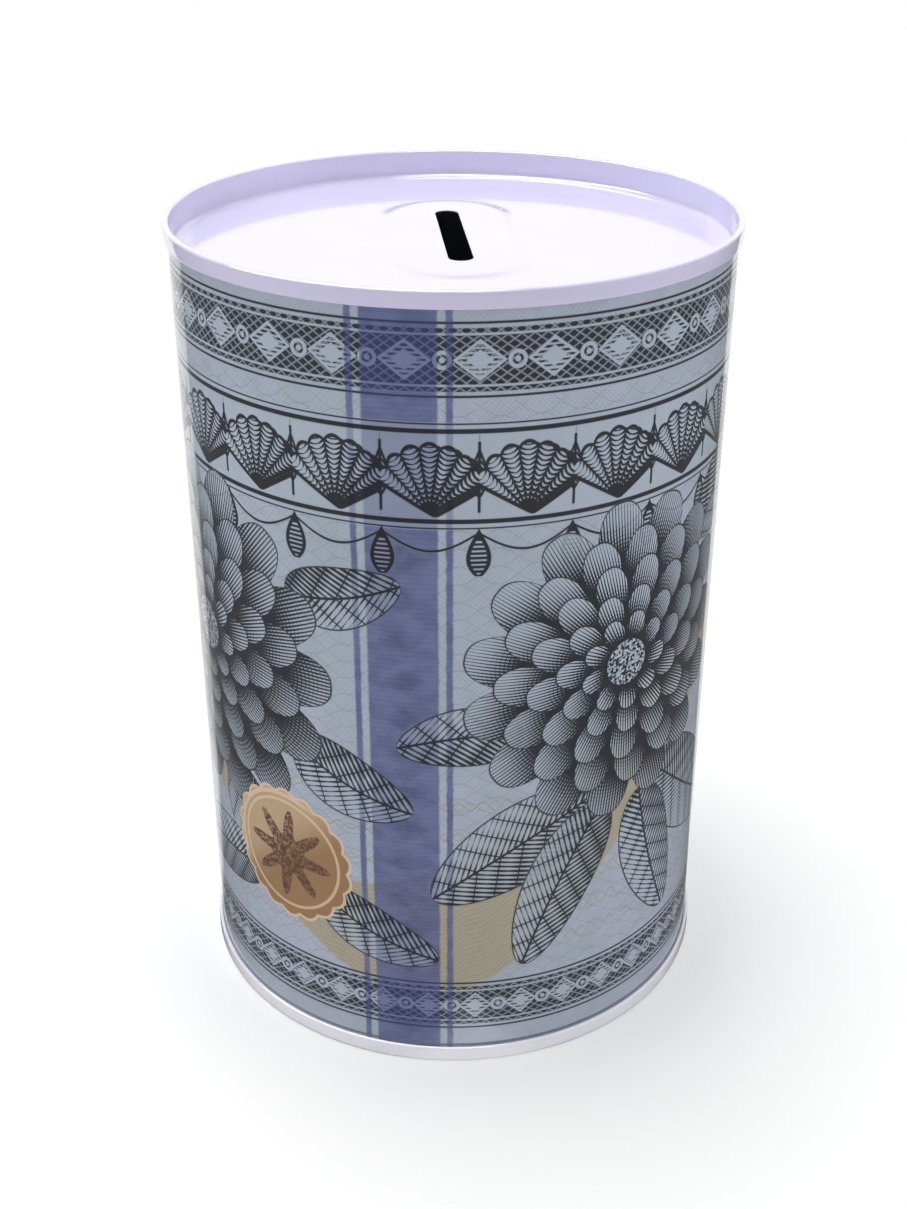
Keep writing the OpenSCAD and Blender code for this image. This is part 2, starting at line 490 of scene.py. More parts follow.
pad = {
    "slotWidth": 4.3,
    "slotLength": 35.0,
    "height": 0.57,
    "topWidth": 18.0,
    "slope": 4.0,
    "lap": 1.0,          # flat of the panel beside the pad and beside the wall
    "endSteps": 72,      # round each end of the slot
    "sideSteps": 8,
    "onPanel": 30,       # radius of a spot that is on the flat panel
}


def makeLid(finishes):
    p = pad
    mesh = bmesh.new()
    cornerStart = onLayer(-pitch - cornerR, 0)[0] + (panelH + cornerR) * leanSin / leanCos
    inner = cornerStart - p["lap"]
    section = Section(mesh, (inner, panelH))
    rimSection(section)
    turnWhole(mesh)
    panelEdge = [
        e for e in mesh.edges if all(abs(v.co.xy.length - inner) < sheet["level"] for v in e.verts)]

    # the pad's section goes round the slot: end, side, end, side
    endY = (p["slotLength"] - p["slotWidth"]) / 2
    footR = p["topWidth"] / 2 + p["slope"]
    before = set(mesh.edges)
    section = Section(mesh, (p["slotWidth"] / 2, panelH + p["height"]))
    section.slopeDown(p["topWidth"] / 2, footR, p["height"], panelH)
    section.runTo((footR + p["lap"], panelH))
    made = [e for e in mesh.edges if e not in before]
    bmesh.ops.translate(mesh, verts=endsOf(made), vec=(0, endY, 0))
    made = turn(mesh, made, (0, endY), 180, p["endSteps"])
    made = slide(mesh, made, (0, -2 * endY, 0), p["sideSteps"])
    made = turn(mesh, made, (0, -endY), 180, p["endSteps"])
    slide(mesh, made, (0, 2 * endY, 0), p["sideSteps"])
    mergeDoubles(mesh)
    ring = set(panelEdge)
    footEdge = [
        e for e in mesh.edges if e.is_boundary and e not in ring
        and all(abs(v.co.z - panelH) < sheet["level"] for v in e.verts)]
    bmesh.ops.bridge_loops(mesh, edges=panelEdge + footEdge)
    bmesh.ops.translate(mesh, verts=mesh.verts, vec=(0, 0, can["height"]))
    facePiece(mesh, (p["onPanel"], 0, can["height"] + panelH), (0, 0, 1))
    sheetPiece(mesh, "slottedLid", can["endT"], finishes, "top_end")


# bottom: the same rim, with one step in its panel

base = {
    "middle": 70.0,      # diameter of the flat middle
    "step": 0.5,
    "slope": 3.0,
    "onPanel": 20,
}


def makeBottom(finishes):
    b = base
    mesh = bmesh.new()
    section = Section(mesh, (0, panelH + b["step"]))
    section.slopeDown(b["middle"] / 2, b["middle"] / 2 + b["slope"], b["step"], panelH)
    rimSection(section)
    turnWhole(mesh)
    bmesh.ops.scale(mesh, vec=(1, 1, -1), verts=mesh.verts)
    facePiece(mesh, (b["onPanel"], 0, -panelH), (0, 0, -1))
    sheetPiece(mesh, "plainBottom", can["endT"], finishes, "bottom_end")


# finishes

lacquer = {
    "colour": ink(212, 208, 235),
    "worn": ink(198, 193, 220),
    "clouds": 22.0,      # sizes of the unevenness, in mm
    "waves": 14.0,
    "specks": 1.6,
    "grain": 0.35,
    "waveHeight": 0.12,
    "grainHeight": 0.004,
    "cloudEdge": (0.5, 0.35),   # where a noise turns into a cloud or a speck, and its fade
    "speckEdge": (0.72, 0.02),
    "cloudWear": 0.35,
    "speckWear": 0.25,
    "roughness": 0.1,
    "cloudRoughness": 0.05,
    "grainRoughness": 0.03,
    "gloss": {"IOR": 1.5, "Coat Weight": 0.9, "Coat Roughness": 0.03},
}

# the bottom's is paler and less lavender: partly its own colour, partly painted light that brightens
# the bottom seam band
paleBottomLacquerWithPaintedLight = {**lacquer, "colour": ink(242, 241, 249), "worn": ink(230, 229, 238)}


def whiteLacquer(name, settings):
    s = settings
    f = Finish(name)
    at = f.place()
    cloud = f.noise(at, s["clouds"], 3.0)
    grain = f.noise(at, s["grain"])
    specks = f.noise(at, s["specks"]).over(*s["speckEdge"])
    colour = f.mix(cloud.over(*s["cloudEdge"]) * s["cloudWear"], s["colour"], s["worn"])
    colour = f.mix(specks * s["speckWear"], colour, s["worn"])
    rough = s["roughness"] + cloud * s["cloudRoughness"] + grain * s["grainRoughness"]
    normal = f.bump(f.noise(at, s["waves"], 1.0), s["waveHeight"], 0.35)
    normal = f.bump(grain, s["grainHeight"], 0.25, normal)
    return f.done({"Base Color": colour, "Roughness": rough, "Normal": normal, **s["gloss"]})


tinplate = {
    # the unpainted side of the sheets
    "colours": (ink(196, 207, 218), ink(210, 220, 230)),
    "rolled": ink(168, 179, 190),
    "bloom": 6.0,        # size of the crystals, in mm
    "lines": (0.2, 0.2, 6.0),
    "lineHeight": 0.01,
    "roughness": 0.3,
    "metal": 0.9,
}


def barePlate(name):
    t = tinplate
    f = Finish(name)
    at = f.place()
    rolled = f.noise(f.stretch(at, t["lines"]), 1.0, 3.0)
    crystals = f.noise(at, t["bloom"], 3.0)
    colour = f.mix(crystals, *t["colours"])
    colour = f.mix(rolled * 0.3, colour, t["rolled"])
    return f.done({
        "Base Color": colour, "Metallic": t["metal"],
        "Roughness": t["roughness"] + rolled * 0.15 + crystals * 0.1,
        "Normal": f.bump(rolled, t["lineHeight"], 0.3)})


compound = {
    "colours": (ink(186, 184, 176), ink(160, 158, 150)),
    "lumps": 0.8,
    "lumpHeight": 0.05,
    "roughness": 0.7,
}


def liningRubber(name):
    c = compound
    f = Finish(name)
    lumps = f.noise(f.place(), c["lumps"], 3.0)
    return f.done({
        "Base Color": f.mix(lumps, *c["colours"]),
        "Roughness": c["roughness"] + lumps * 0.2,
        "Normal": f.bump(lumps, c["lumpHeight"], 0.5)})


# the print, drawn in mm round the wall from the middle of the front and up from the ground

inks = {
    "paper": ink(172, 184, 198),
    "paperLilac": ink(181, 186, 206),
    "paperGreen": ink(156, 172, 176),
    "dark": ink(16, 16, 25),
    "grey": ink(98, 104, 122),
    "blue": ink(98, 108, 156),
    "blueDark": ink(52, 60, 112),
    "tan": ink(168, 157, 124),
    "copper": ink(156, 120, 84),
    "copperDark": ink(98, 66, 46),
    "copperPale": ink(222, 198, 164),
    "margin": ink(212, 209, 232),
}

soft = {
    # half the width of the fade at an edge, in mm
    "shape": 0.12,
    "line": 0.1,
    "stroke": 0.09,
    "thread": 0.15,
}


def engraved(tone, along, spacing):
    # parallel lines that swell with the tone, from 0 for bare paper to 1 for solid ink
    return (along.fromLine(spacing) - tone * (spacing / 2)).under(0, soft["stroke"])


def hairline(distance, width, fade=soft["line"]):
    return abs(distance).under(width / 2, fade)


def lineAt(distance, line):
    # a line, from the distance it stands at and its width
    place, width = line
    return hairline(distance - place, width)


def shape(depth):
    # 1 inside a form, from the distance inside its edge
    return depth.over(0, soft["shape"])


bloom = {
    # middle and size of each bloom
    "places": [(28.0, 81.0, 1.0), (-60.0, 79.0, 1.12)],
    # petals in the ring, radius of their tips, radius of their bases, turn of the ring
    # and lines in a petal
    "rings": [
        (15, 31.0, 22.5, 0.0, 17),
        (15, 25.5, 17.5, 0.5, 15),
        (13, 20.0, 12.5, 0.2, 13),
        (11, 14.6, 8.5, 0.6, 11),
        (9, 9.8, 5.0, 0.1, 8),
    ],
    "tip": (2.6, 0.8),   # how square a petal's tip is, and how far down its sides run
    "root": 0.92,        # the shade starts at this share of the base radius
    "tone": 0.34,
    "light": 0.7,        # it falls from the upper left
    "lit": 0.2,
    "shade": 0.95,
    "tilt": 0.4,
    "flank": 0.5,
    "bow": 0.25,
    "crossFrom": 0.42,   # tone above which a second set of lines crosses the first
    "crossBow": 5.0,
    "crossStep": 0.75,
    "outline": 0.6,
    "cut": (0.3, 0.08),  # dark line between two petals, and its fade
    "eye": 4.6,
    "eyeLine": 0.5,
    "seeds": (0.5, 0.1),
}


def drawBloom(across, up, grain):
    b = bloom
    r = (across * across + up * up).root()
    way = up.arctan(across) / math.tau
    light = (up * b["light"] - across * b["light"]) / b["rings"][0][1]
    power, fall = b["tip"]
    cutWidth, cutFade = b["cut"]
    drawn, cover = None, None
    for petals, tipR, baseR, start, lines in b["rings"]:
        petal = (way * petals + start).wrap(1.0)
        side = abs(petal) * 2
        reach = tipR - (side ** power) * (tipR - baseR) * fall
        inside = shape(reach - r)
        root = baseR * b["root"]
        depth = (r - root) / (tipR - root)
        shadow = (1 - depth).most(0) ** 2.0
        tone = b["tone"] - light * b["lit"] + shadow * b["shade"] + petal * b["tilt"]
        tone += side ** 6 * b["flank"]
        bow = petal + petal * depth * depth * b["bow"]
        strokes = engraved(tone, bow * lines, 1.0)
        crossing = engraved(tone - b["crossFrom"], r + petal * petal * b["crossBow"], b["crossStep"])
        strokes = strokes.most(crossing)
        halfPetal = r * (math.pi / petals)
        cut = (side * halfPetal - halfPetal + cutWidth).over(0, cutFade)
        part = strokes.most(hairline(reach - r, b["outline"])).most(cut)
        drawn = part if drawn is None else inside.blend(drawn, part)
        cover = inside if cover is None else cover.most(inside)
    eye = r.under(b["eye"], soft["shape"])
    seeds = grain.over(*b["seeds"])
    return eye.blend(drawn, seeds.most(hairline(r - b["eye"], b["eyeLine"]))), cover


leaf = {
    # where the leaf starts, its direction in degrees, length and half width
    "places": [
        (22.0, 56.0, 212, 35, 10.0),
        (37.0, 56.0, -36, 38, 11.0),
        (8.0, 72.0, 188, 22, 7.0),
        (24.0, 54.0, 245, 36, 8.5),
        (33.0, 53.0, -72, 34, 8.5),
        (46.0, 99.0, 36, 30, 8.5),
        (-52.0, 54.0, -62, 30, 9.5),
        (-34.0, 66.0, -24, 25, 8.0),
        (-34.0, 95.0, 14, 22, 7.0),
        (-76.0, 54.0, 238, 34, 10.0),
        (-44.0, 33.0, 192, 34, 8.0),
        (-30.0, 35.0, -26, 26, 7.0),
        (-88.0, 70.0, 196, 28, 9.0),
        (-88.0, 98.0, 140, 28, 8.5),
    ],
    "curve": (3.0, 1.2),  # turn and depth of the midrib's curve
    "taper": 0.35,
    "ends": 0.004,        # fade at both ends, as a share of the length
    "veinLean": 0.85,
    "veinStep": 5.0,
    "veinLine": 0.36,
    "midrib": 0.5,
    "outline": 0.6,
    "strokeStep": 0.72,
    "strokeLean": 0.5,
    "tone": 0.5,
    "sideTone": 0.36,
    "rootTone": 0.35,
    "veinTone": 0.1,
}


def drawLeaf(u, v, startU, startV, cosine, sine, length, halfWidth):
    k = leaf
    turns, depth = k["curve"]
    along = ((u - startU) * cosine + (v - startV) * sine) / length
    across = (v - startV) * cosine - (u - startU) * sine + (along * turns).sin() * depth
    part = along.share()
    half = (part * (1 - part) * 4).root() * (1 - part * k["taper"]) * halfWidth
    inside = shape(half - abs(across)) * along.between(0, 1, k["ends"])
    lean = along * length - abs(across) * k["veinLean"]
    tone = k["tone"] + across / halfWidth * k["sideTone"] + (1 - part) ** 3 * k["rootTone"]
    tone -= lean.fromLine(k["veinStep"]) * k["veinTone"]
    strokes = engraved(tone, lean * k["strokeLean"] + abs(across), k["strokeStep"])
    veins = hairline(across, k["midrib"])
    veins = veins.most(hairline(lean.fromLine(k["veinStep"]), k["veinLine"]))
    rim = hairline(half - abs(across), k["outline"])
    return strokes.most(veins).most(rim), inside


rosette = {
    "places": [(-120.0, 78.0), (112.0, 76.0)],
    # radius of each band of loops, half its width and its loops
    "bands": [(15.0, 9.0, 12), (7.0, 5.0, 8)],
    "strands": 5,
    "strand": 0.17,      # half the width of a strand
    "nearEdge": 0.999,   # as far out as a strand is followed, as a share of the band
    "edge": 26.5,
    "outerLine": (-1.2, 1.1),   # distance from the edge, and width
    "innerLine": (-2.6, 0.4),
}


def drawRosette(across, up):
    t = rosette
    r = (across * across + up * up).root()
    way = up.arctan(across)
    perTurn = t["strands"] / math.tau
    drawn = lineAt(r - t["edge"], t["outerLine"]).most(lineAt(r - t["edge"], t["innerLine"]))
    for band, width, loops in t["bands"]:
        swing = ((r - band) / width).least(t["nearEdge"]).most(-t["nearEdge"]).arccos()
        crowding = ((loops / r.most(1.0)) ** 2 + (1 / (swing.sin() * width)) ** 2).root() * perTurn
        inside = abs(r - band).under(width, soft["line"])
        for sign in (1, -1):
            strand = (way * loops + swing * sign) * perTurn
            line = (strand.fromLine(1.0) / crowding).under(t["strand"], soft["line"])
            drawn = drawn.most(line * inside)
    return drawn, r.under(t["edge"], soft["line"])


frieze = {
    "middle": 119.6,
    "half": 7.0,
    "count": 20,          # shells round the can
    "foot": 0.9,          # from the band's lower edge up to a shell's point
    "bandFade": 0.05,
    "rail": (0.6, 0.8),   # distance outside the band, and width
    "thinRail": (1.8, 0.28),
    "reach": 2.1,         # how far outside the band the ground is cleared
}

fan = {
    "spread": 1.02,       # half the fan of a shell, in radians
    "lobes": 7,
    "crown": (7.6, 4.4, 0.9),  # radius, then the height and half angle of the arch on it
    "scallop": 3.4,
    "flankOut": 0.4,
    "shadow": (0.9, 0.55),     # how far it falls across and down
    "tone": 0.3,
    "lobeTone": 2.6,
    "sideTone": 0.2,
    "footTone": (6.5, 0.09),   # radius from which it darkens inwards, and how fast
    "step": 0.85,
    "bow": 3.0,
    "rib": 0.2,
    "outline": (0.3, 0.75),    # distance inside the edge, and width
    "hinge": 1.7,
}


def fanShape(across, up):
    # distance inside the scalloped edge of a shell, its own radius and its place across the fan
    k = fan
    crownR, rise, halfAngle = k["crown"]
    r = (across * across + up * up).root()
    side = across.arctan(up) / k["spread"]
    lobe = (side * (k["lobes"] / 2)).fromLine(1.0)
    edge = (side * halfAngle).cos() * rise + crownR - lobe ** 2.0 * k["scallop"]
    flank = (1 - abs(side)) * r * k["spread"]
    return (edge - r).least(flank + k["flankOut"]), r, side, lobe


def drawShell(across, up):
    k = fan
    inner, r, side, lobe = fanShape(across, up)
    shadow = fanShape(across - k["shadow"][0], up + k["shadow"][1])[0]
    shell = shape(inner)
    footR, darkening = k["footTone"]
    tone = k["tone"] + lobe * lobe * k["lobeTone"] + side * k["sideTone"]
    tone += (footR - r).most(0) * darkening
    ribs = ((0.5 - lobe) * r * (2 * k["spread"] / k["lobes"])).under(k["rib"], soft["line"])
    drawn = engraved(tone, r - lobe * lobe * k["bow"], k["step"]).most(ribs)
    drawn = drawn.most(lineAt(inner, k["outline"]))
    drawn = drawn.most(r.under(k["hinge"], soft["line"])).most(1 - shell)
    return drawn, shell.most(shape(shadow))


bud = {
    "foot": 2.2,
    "length": 9.0,
    "width": 1.5,
    "arch": 3.1,              # how much of a sine's turn shapes it, in radians
    "taper": (1.35, 0.75),    # share of the width at its foot, and what it loses upwards
    "tone": (0.45, 0.3),      # at its foot, and what it gains upwards
    "lean": 1.4,
    "step": 0.9,
    "outline": (0.2, 0.55),
    "stem": (12.0, 0.5),      # height and width
}


def drawBud(between, up):
    # a bud on its stem between two shells
    k = bud
    part = ((up - k["foot"]) / k["length"]).share()
    full, loss = k["taper"]
    fat = (part * k["arch"]).sin().most(0) * (full - part * loss) * k["width"]
    inside = shape(fat - between)
    stemTop, stemWidth = k["stem"]
    stem = hairline(between, stemWidth) * up.between(0, stemTop, soft["line"])
    tone, gain = k["tone"]
    lines = engraved(tone + part * gain, up + between * k["lean"], k["step"])
    drawn = lines.most(lineAt(fat - between, k["outline"])) * inside
    return drawn.most(stem)


drop = {
    "length": 8.5,
    "width": 2.6,
    "arch": (3.0, 0.8),       # turn of the sine that shapes it, and how round it is
    "taper": (0.45, 0.6),     # share of the width at its top, and what it gains downwards
    "cap": 2.0,
    "wall": 0.75,
    "tone": (0.5, 0.2),
    "step": 0.8,
    "cord": (0.8, 3.2, 0.5),  # where it hangs, how deep it swings, and its width
}


def drawDrops(across, between, hang, v, step):
    # drops under the buds, on a cord
    k = drop
    part = (hang / k["length"]).share()
    turns, power = k["arch"]
    full, gain = k["taper"]
    fat = ((part * turns).sin().most(0) ** power) * k["width"] * (full + part * gain)
    inside = shape(fat - between) * hang.between(0, k["length"], soft["line"])
    hollow = shape(fat - between - k["wall"]) * hang.between(k["cap"], k["length"], soft["line"])
    tone, gain = k["tone"]
    hung = inside - hollow * (1 - engraved(tone + part * gain, v, k["step"]))
    top, swing, width = k["cord"]
    cord = hairline(hang - top - (across * (math.pi / step)).cos() * swing, width)
    return hung, inside, cord


def drawFrieze(u, v):
    z = frieze
    step = math.tau * wallR / z["count"]
    across, up = (u + step / 2).wrap(step), v - z["middle"] + z["half"] - z["foot"]
    shells, cover = drawShell(across, up)
    between = step / 2 - abs(across)
    drawn = cover.blend(drawBud(between, up), shells)
    rails = lineAt(abs(v - z["middle"]) - z["half"], z["rail"])
    rails = rails.most(lineAt(abs(v - z["middle"]) - z["half"], z["thinRail"]))
    hang = z["middle"] - z["half"] - z["thinRail"][0] - v
    hung, drops, cord = drawDrops(across, between, hang, v, step)
    band = abs(v - z["middle"]).under(z["half"], z["bandFade"])
    reach = abs(v - z["middle"]).under(z["half"] + z["reach"], soft["line"])
    return (drawn * band).most(rails).most(hung).most(cord), reach.most(drops).most(cord)


border = {
    # bottom and top of each band, and how many ornaments stand in it
    "places": [(133.6, 143.6, 27), (8.4, 17.4, 36)],
    "webStep": 1.5,
    "webSlope": 0.72,
    "webLine": 0.3,
    "webStrength": 0.38,
    # half the width as a share of the step, and half the height as a share of the band's
    "lozenge": (0.36, 0.66),
    "lozengeFade": 0.03,
    "hatch": (0.5, 0.84),      # where in it the hatching starts and ends
    "hatchTone": (0.55, 0.07),
    "hatchStep": 0.75,
    "ring": (0.9, 1.5),        # inner and outer radius
    "dot": 0.45,
    "dotFade": 0.08,
    "trim": (-0.95, 0.34),     # distance from the edge, and width
    "outline": (0.8, 0.4),
}


def drawBorder(u, v, low, high, step):
    # the pale part and the dark part of a lattice band
    g = border
    half = (high - low) / 2
    across, up = u.wrap(step), v - (high + low) / 2
    band = (half - abs(up)).over(0, soft["line"])
    web = hairline((u * g["webSlope"] + v).fromLine(g["webStep"]), g["webLine"])
    web = web.most(hairline((u * g["webSlope"] - v).fromLine(g["webStep"]), g["webLine"]))
    wide, tall = g["lozenge"]
    lozenge = abs(across) / (step * wide) + abs(up) / (half * tall)
    pale = lozenge.under(1.0, g["lozengeFade"])
    hatched = lozenge.between(*g["hatch"], g["lozengeFade"])
    tone, gain = g["hatchTone"]
    pale -= hatched * engraved(tone + up * gain, up, g["hatchStep"])
    spot = ((abs(across) - step / 2) ** 2.0 + up * up).root()
    pale = pale.most(spot.between(*g["ring"], g["dotFade"])).most(spot.under(g["dot"], g["dotFade"]))
    trim = lineAt(abs(up) - half, g["trim"])
    pale = pale.most(0).most(trim).most(web * g["webStrength"])
    return band * pale, (band * (1 - pale)).most(lineAt(abs(up) - half, g["outline"]))


seal = {
    "at": (-37.0, 40.0),
    "radius": 13.2,
    "scallops": 18,
    "scallop": 0.9,
    "star": (4.2, 5.6),        # radius between the rays, and what they add to it
    "rays": 8,
    "starTurn": 0.4,
    "ring": (-1.7, 0.6),       # distance from the radius, and width
    "shine": (-0.3, 0.9),
    "shineFrom": (6.0, 3.0),   # where it starts on the way up and left, and its fade
    "glint": (0.8, 0.6),       # how much it leans up and left
    "glintFrom": (1.5, 5.0),
    "stipple": (0.47, 0.08),
    "outline": 0.6,
}


def drawSeal(across, up, grain):
    s = seal
    r = (across * across + up * up).root()
    way = up.arctan(across)
    edge = s["radius"] + abs((way * (s["scallops"] / 2)).sin()) * s["scallop"]
    disc = shape(edge - r)
    core, ray = s["star"]
    star = r - core - abs((way * (s["rays"] / 2) + s["starTurn"]).cos()) ** 3.0 * ray
    star = star.under(0, soft["shape"])
    stipple = grain.over(*s["stipple"])
    rise, left = s["glint"]
    glint = (up * rise - across * left).over(*s["glintFrom"])
    rings = lineAt(r - s["radius"], s["ring"])
    shine = lineAt(r - s["radius"], s["shine"]) * (up - across).over(*s["shineFrom"])
    return disc, star, stipple, glint, rings.most(shine), hairline(edge - r, s["outline"])


stripe = {
    "middle": -12.5,
    "half": 6.0,
    "fade": 0.25,
    "edging": (7.3, 8.4, 0.2),   # a narrow stripe on each side: from, to and its fade
    "fray": 0.4,
    "band": 7.5,            # from one woven figure to the next
    "figure": (2.2, 0.9),   # half its height, and its fade
    "figureLean": 0.6,
    "figureDark": 0.35,
    "wear": (0.5, 0.14),
    "wearDark": 0.4,
    "thread": (0.9, 0.35),  # step and width
    "threadDark": 0.15,
}


def drawStripe(u, v, grain, patches):
    # how much blue lies here, and how much of it is dark
    s = stripe
    side, up = abs(u - s["middle"]), v.wrap(s["band"])
    edge = side + (grain - 0.5) * s["fray"]
    blue = edge.under(s["half"], s["fade"]).most(edge.between(*s["edging"]))
    figure = (side * s["figureLean"] + abs(up)).under(*s["figure"])
    worn = patches.over(*s["wear"])
    step, width = s["thread"]
    threads = hairline(v.fromLine(step), width, soft["thread"])
    dark = worn * s["wearDark"] + figure * s["figureDark"] + threads * s["threadDark"]
    return blue, dark.least(1)


script = {
    # rows of small running loops, in tan
    "rowStep": 6.4,
    "loopTurn": 1.45,
    "swell": (0.083, 0.4, 0.9),  # how the loops' height changes along a row
    "thick": 0.34,
    "thin": 0.22,
    "middle": 41,
    "half": 19,
    "fade": 0.2,
}


def drawScript(u, v):
    s = script
    turns, change, height = s["swell"]
    row = v.wrap(s["rowStep"])
    swell = (u * turns).sin() * change + height
    loop = hairline(row - (u * s["loopTurn"]).sin() * swell, s["thick"])
    loop = loop.most(hairline(row + (u * s["loopTurn"]).sin() * swell, s["thin"]))
    return (loop * (v - s["middle"]).between(-s["half"], s["half"], s["fade"]),)


tin = {
    # sizes of the spots in mm: tints of the paper, green clouds, grain, wear of the stripe,
    # specks and the waves of the sheet
    "tint": 30.0,
    "clouds": 5.0,
    "grain": 0.55,
    "patches": 2.6,
    "patchShape": (0.6, 0.6, 1.0),
    "specks": 1.4,
    "waves": 18.0,
    "waveHeight": 0.15,
    # where a noise turns into a tint, a cloud or a speck, and its fade
    "tintEdge": (0.5, 0.25),
    "cloudEdge": (0.55, 0.2),
    "speckEdge": (0.5, 0.25),
    # step and width of the threads in the paper, and slope, step and width of the others
    "threads": (0.8, 0.3),
    "slantThreads": (0.8, 1.1, 0.22),
    # number round the can, height, step and width of the faint waves
    "web": (24, 1.6, 3.2, 0.2),
    "webHeights": (19, 132, 0.2),   # from, to and the fade
    "roughness": 0.3,
    "cloudRoughness": 0.08,
    "gloss": {"IOR": 1.5, "Coat Weight": 0.8, "Coat Roughness": 0.04},
    "margin": 5.0,       # plain sheet beside the side seam
    "marginLine": (6.5, 0.5),
    # painted shade: height and width of a grey line in the crevice where the wall meets the bottom
    # seam
    "paintedCreviceShade": (3.3, 0.55),
}

ribbon = {
    "middle": 52,
    "sweep": (2, 0.9, 24),     # waves round the can, how far they lag, and their height
    "width": (12, 3, 1.0, 4),  # mean, its waves, how far they lead, and how much they add
    "fade": 0.5,
    "lineWaves": (40, 0.5),
    "lineStep": 1.1,
    "line": 0.4,
}

strength = {
    # how far each layer covers what lies under it
    "green": 0.35,
    "threads": 0.1,
    "speckedThreads": 0.14,
    "web": 0.25,
    "ribbon": 0.68,
    "ribbonLines": 0.3,
    "loops": 0.75,
    "stripe": 0.88,
    "inkedBlue": 0.45,
    "ground": 0.8,
    "dark": 0.95,
    "glint": 0.45,
    "star": 0.4,
    "stipple": 0.6,
    "sealRing": 0.7,
    "sealEdge": 0.8,
    "borderBlue": 0.8,
    "borderDark": 0.95,
    "borderPale": 0.85,
    # painted shade in the crevice above the bottom seam
    "paintedCreviceShade": 0.9,
}


def printedTin(name):
    t, k = tin, strength
    f = Finish(name)
    at = f.place()
    x, y, v = f.inMm(at)
    u = x.arctan(-y) * wallR
    tint = f.noise(at, t["tint"], 3.0)
    cloud = f.noise(at, t["clouds"], 3.0)
    grain = f.noise(at, t["grain"], 1.0)
    patches = f.noise(f.stretch(at, t["patchShape"]), t["patches"])
    specks = f.noise(at, t["specks"])
    waves = f.noise(at, t["waves"], 1.0)
    way = u / wallR

    # paper
    colour = f.mix(tint.over(*t["tintEdge"]), inks["paper"], inks["paperLilac"])
    colour = f.mix(cloud.over(*t["cloudEdge"]) * k["green"], colour, inks["paperGreen"])
    step, width = t["threads"]
    threads = hairline((u + v).fromLine(step), width, soft["thread"])
    slope, step, width = t["slantThreads"]
    threads = threads.most(hairline((u - v * slope).fromLine(step), width, soft["thread"]))
    threads *= specks.over(*t["speckEdge"]) * k["speckedThreads"] + k["threads"]
    colour = f.mix(threads, colour, inks["grey"])

    # faint web of waves behind everything
    turns, height, step, width = t["web"]
    wave = (way * turns).sin() * height
    web = hairline((v + wave).fromLine(step), width)
    web = web.most(hairline((v - wave).fromLine(step), width))
    colour = f.mix(web * v.between(*t["webHeights"]) * k["web"], colour, inks["grey"])

    # tan ribbon that sweeps round the can, and rows of loops beside it
    turns, lag, height = ribbon["sweep"]
    fromRibbon = v - ribbon["middle"] - (way * turns - lag).sin() * height
    mean, turns, lead, change = ribbon["width"]
    widthHere = mean + (way * turns + lead).sin() * change
    tanned = (widthHere - abs(fromRibbon)).over(0, ribbon["fade"])
    turns, height = ribbon["lineWaves"]
    combed = (fromRibbon + (way * turns).sin() * height).fromLine(ribbon["lineStep"])
    combed = hairline(combed, ribbon["line"])
    colour = f.mix(tanned * (k["ribbon"] + combed * k["ribbonLines"]), colour, inks["tan"])
    loops, = f.motif("runningLoops", drawScript, {"u": u, "v": v})
    colour = f.mix(loops * k["loops"], colour, inks["tan"])

    # blue stripe
    inStripe, darkBlue = f.motif("blueStripe", drawStripe, {
        "u": u, "v": v, "grain": specks, "patches": patches})
    blue = f.mix(darkBlue, inks["blue"], inks["blueDark"])
    colour = f.mix(inStripe * k["stripe"], colour, blue)

    # engraved work in dark ink, each drawing laid over the one before it
    inked = f.mix(inStripe * k["inkedBlue"], inks["paper"], inks["blue"])

    def press(name, draw, values):
        nonlocal colour
        drawn, cover = f.motif(name, draw, values)
        under = f.mix(cover * k["ground"], colour, inked)
        colour = f.mix(drawn * cover * k["dark"], under, inks["dark"])

    press("frieze", drawFrieze, {"u": u, "v": v})
    for middleU, middleV in rosette["places"]:
        press("rosette", drawRosette, {"across": u - middleU, "up": v - middleV})
    for startU, startV, degrees, length, halfWidth in leaf["places"]:
        cosine, sine = polar(1, degrees)
        press("leaf", drawLeaf, {
            "u": u, "v": v, "startU": startU, "startV": startV, "cosine": cosine, "sine": sine,
            "length": length, "halfWidth": halfWidth})
    for middleU, middleV, size in bloom["places"]:
        press("bloom", drawBloom, {
            "across": (u - middleU) / size, "up": (v - middleV) / size, "grain": grain})

    # copper seal
    disc, star, stipple, glint, rings, outline = f.motif("seal", drawSeal, {
        "across": u - seal["at"][0], "up": v - seal["at"][1], "grain": grain})
    copper = f.mix(glint * k["glint"], inks["copper"], inks["copperPale"])
    copper = f.mix(star * (k["star"] + stipple * k["stipple"]), copper, inks["copperDark"])
    copper = f.mix(rings * k["sealRing"], copper, inks["copperPale"])
    colour = f.mix(disc, colour, copper)
    colour = f.mix(outline * k["sealEdge"], colour, inks["copperPale"])

    # borders, a grey line of painted shade in the crevice just above the bottom seam, and the plain
    # margin beside the side seam
    inBlue = inStripe * k["borderBlue"]
    for low, high, count in border["places"]:
        pale, dark = f.motif("border", drawBorder, {
            "u": u, "v": v, "low": low, "high": high, "step": math.tau * wallR / count})
        colour = f.mix(
            dark * k["borderDark"], colour, f.mix(inBlue, inks["dark"], inks["blueDark"]))
        colour = f.mix(
            pale * k["borderPale"], colour, f.mix(inBlue, inks["paper"], inks["blue"]))
    # painted shade: a grey line along the crevice above the bottom seam
    colour = f.mix(lineAt(v, t["paintedCreviceShade"]) * k["paintedCreviceShade"], colour, inks["grey"])
    fromSeam = math.pi * wallR - abs(u)
    colour = f.mix(lineAt(fromSeam, t["marginLine"]), colour, inks["dark"])
    colour = f.mix(fromSeam.under(t["margin"], soft["line"]), colour, inks["margin"])

